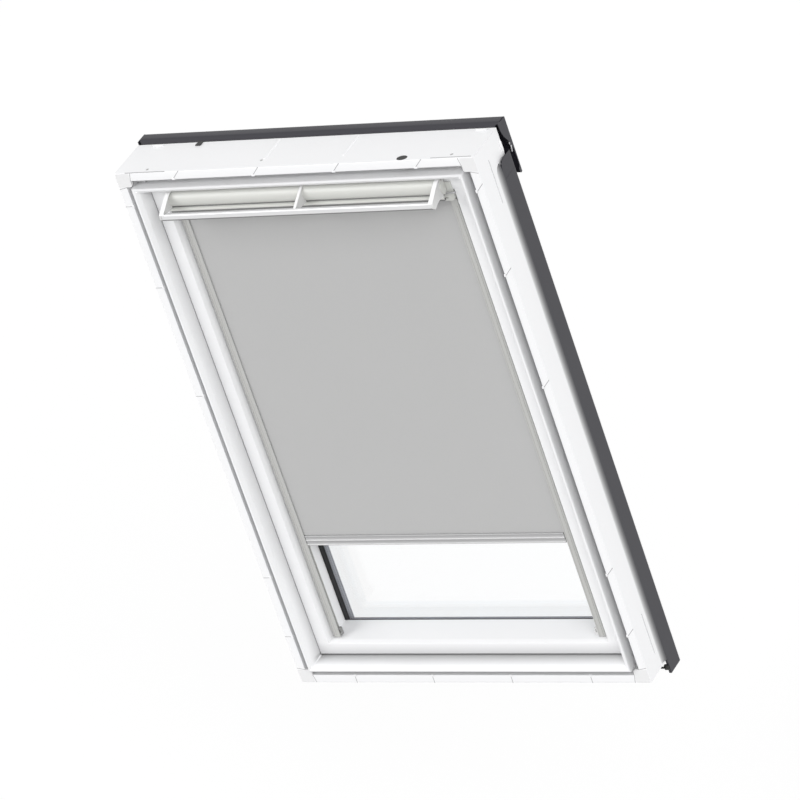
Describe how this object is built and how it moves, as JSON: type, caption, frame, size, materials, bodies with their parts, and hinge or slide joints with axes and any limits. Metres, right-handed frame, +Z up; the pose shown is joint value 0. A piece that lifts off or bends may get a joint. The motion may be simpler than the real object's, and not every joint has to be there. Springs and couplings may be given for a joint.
{
  "type": "roof window with roller blind",
  "caption": "Centre-pivot roof window with dark outer covers, a top ventilation flap worked by a control bar, and a blackout roller blind in side channels.",
  "frame": {"origin": "middle of the sill's flat lower face", "axes": "+X to the right seen from the room, +Y out towards the sky, +Z up along the window"},
  "size_m": [0.7936, 0.1801, 1.2108],
  "materials": {
    "white_frame": "smooth white polyurethane coat, satin",
    "white_sash": "smooth white polyurethane coat, satin",
    "key_plastic": "moulded, matt",
    "cladding": "lacquered dark grey sheet, satin",
    "clip_black": "moulded, matt",
    "seal_rubber": "matt",
    "hardware": "zinc plated, satin",
    "pane": "clear, polished",
    "spacer": "bare, with a dotted edge",
    "flap_white": "lacquered warm white, satin",
    "bracket_white": "moulded, satin",
    "silver_bar": "anodised, fine satin",
    "casing": "lacquered warm grey, satin",
    "channel_grey": "anodised, fine grooves",
    "blind_plastic": "moulded, matt",
    "cloth": "coated blackout weave, matt"
  },
  "bodies": {
    "frame": {"frame_head": "white_frame", "frame_sill": "white_frame", "frame_stile_left": "white_frame", "frame_stile_right": "white_frame", "corner_key_top_left": "key_plastic", "corner_key_top_right": "key_plastic", "corner_key_bottom_left": "key_plastic", "corner_key_bottom_right": "key_plastic", "weather_seal": "seal_rubber", "side_cover_left": "cladding", "side_cover_right": "cladding", "cover_end_left": "cladding", "cover_end_right": "cladding", "sill_cover": "cladding", "top_hood": "cladding", "hood_clip_left": "clip_black", "hood_clip_right": "clip_black", "pivot_hinge_left": "hardware", "pivot_hinge_right": "hardware", "striker_plate": "hardware"},
    "sash": {"sash_top_rail": "white_sash", "sash_bottom_rail": "white_sash", "sash_stile_left": "white_sash", "sash_stile_right": "white_sash", "lock_case": "hardware", "hinge_bush_left": "hardware", "hinge_bush_right": "hardware", "glass_inner": "pane", "glass_outer": "pane", "spacer_bar": "spacer", "glass_gasket": "seal_rubber", "sash_cover_left": "cladding", "sash_cover_right": "cladding", "sash_cover_top": "cladding", "sash_cover_bottom": "cladding", "flap_eye_left": "hardware", "flap_eye_right": "hardware", "blind_headbox": "casing", "headbox_end_left": "casing", "headbox_end_right": "casing", "side_channel_left": "channel_grey", "side_channel_right": "channel_grey", "channel_foot_left": "blind_plastic", "channel_foot_right": "blind_plastic", "blind_cloth": "cloth"},
    "vent_flap": {"vent_flap": "flap_white", "flap_end_left": "flap_white", "flap_end_right": "flap_white", "flap_rod": "hardware", "control_bar": "silver_bar", "bracket_left": "bracket_white", "bracket_middle": "bracket_white", "bracket_right": "bracket_white"},
    "blind_bar": {"blind_bottom_bar": "silver_bar", "bar_guide_left": "blind_plastic", "bar_guide_right": "blind_plastic"},
    "blind_roller": {"roller_tube": "silver_bar", "roller_plug_left": "blind_plastic", "roller_plug_right": "blind_plastic"}
  },
  "joints": [
    {"name": "sash_pivot", "type": "hinge", "parent": "frame", "child": "sash", "pos_m": [0, 0.016, 0.589], "axis": [1, 0, 0], "range_deg": [0, 160]},
    {"name": "vent_flap_hinge", "type": "hinge", "parent": "sash", "child": "vent_flap", "pos_m": [0, -0.03, 1.0965], "axis": [1, 0, 0], "range_deg": [0, 35]},
    {"name": "blind_slide", "type": "slide", "parent": "sash", "child": "blind_bar", "axis": [0, 0, 1], "range_m": [-0.197, 0.725], "deforming": ["blind_cloth"]},
    {"name": "roller_spin", "type": "hinge", "parent": "sash", "child": "blind_roller", "pos_m": [0, 0.0054, 1.07175], "axis": [1, 0, 0], "continuous": true}
  ],
  "couplings": [
    {"joint": "roller_spin", "follows": "blind_slide", "rad_per_m": -78.74}
  ]
}
